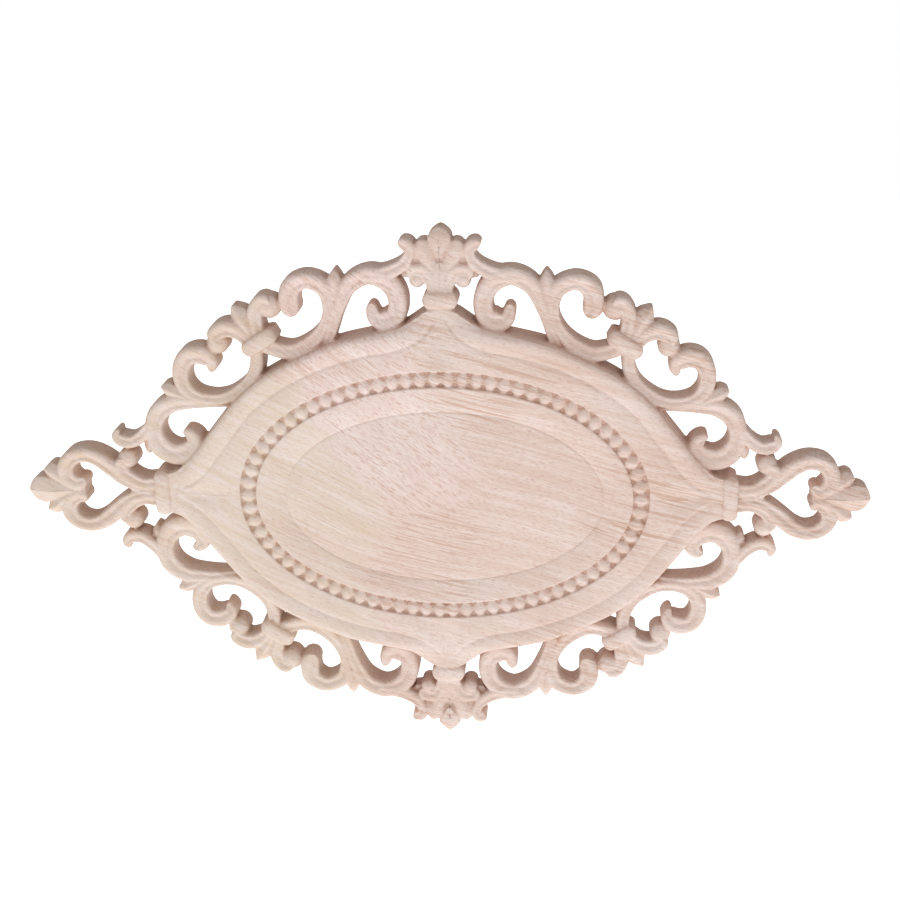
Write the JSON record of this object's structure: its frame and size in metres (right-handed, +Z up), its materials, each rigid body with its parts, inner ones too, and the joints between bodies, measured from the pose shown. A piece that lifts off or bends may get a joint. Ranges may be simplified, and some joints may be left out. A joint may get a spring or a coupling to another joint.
{
  "type": "carved wood applique",
  "caption": "Openwork carved wood applique: an oval beaded plate with a sunk panel, ringed by scrolls, collars and leaf tips, flat at the back.",
  "frame": {"origin": "the middle of the flat back, which lies in the plane Y = 0", "axes": "+X along the longer way across, +Z up as it is fixed, and the carving faces -Y"},
  "size_m": [0.5, 0.022, 0.32],
  "materials": {
    "rubberwood": "bare, sanded, unpainted pale wood with fine short grain flecks"
  },
  "bodies": {
    "root": {"carved_applique": "rubberwood"}
  },
  "joints": []
}
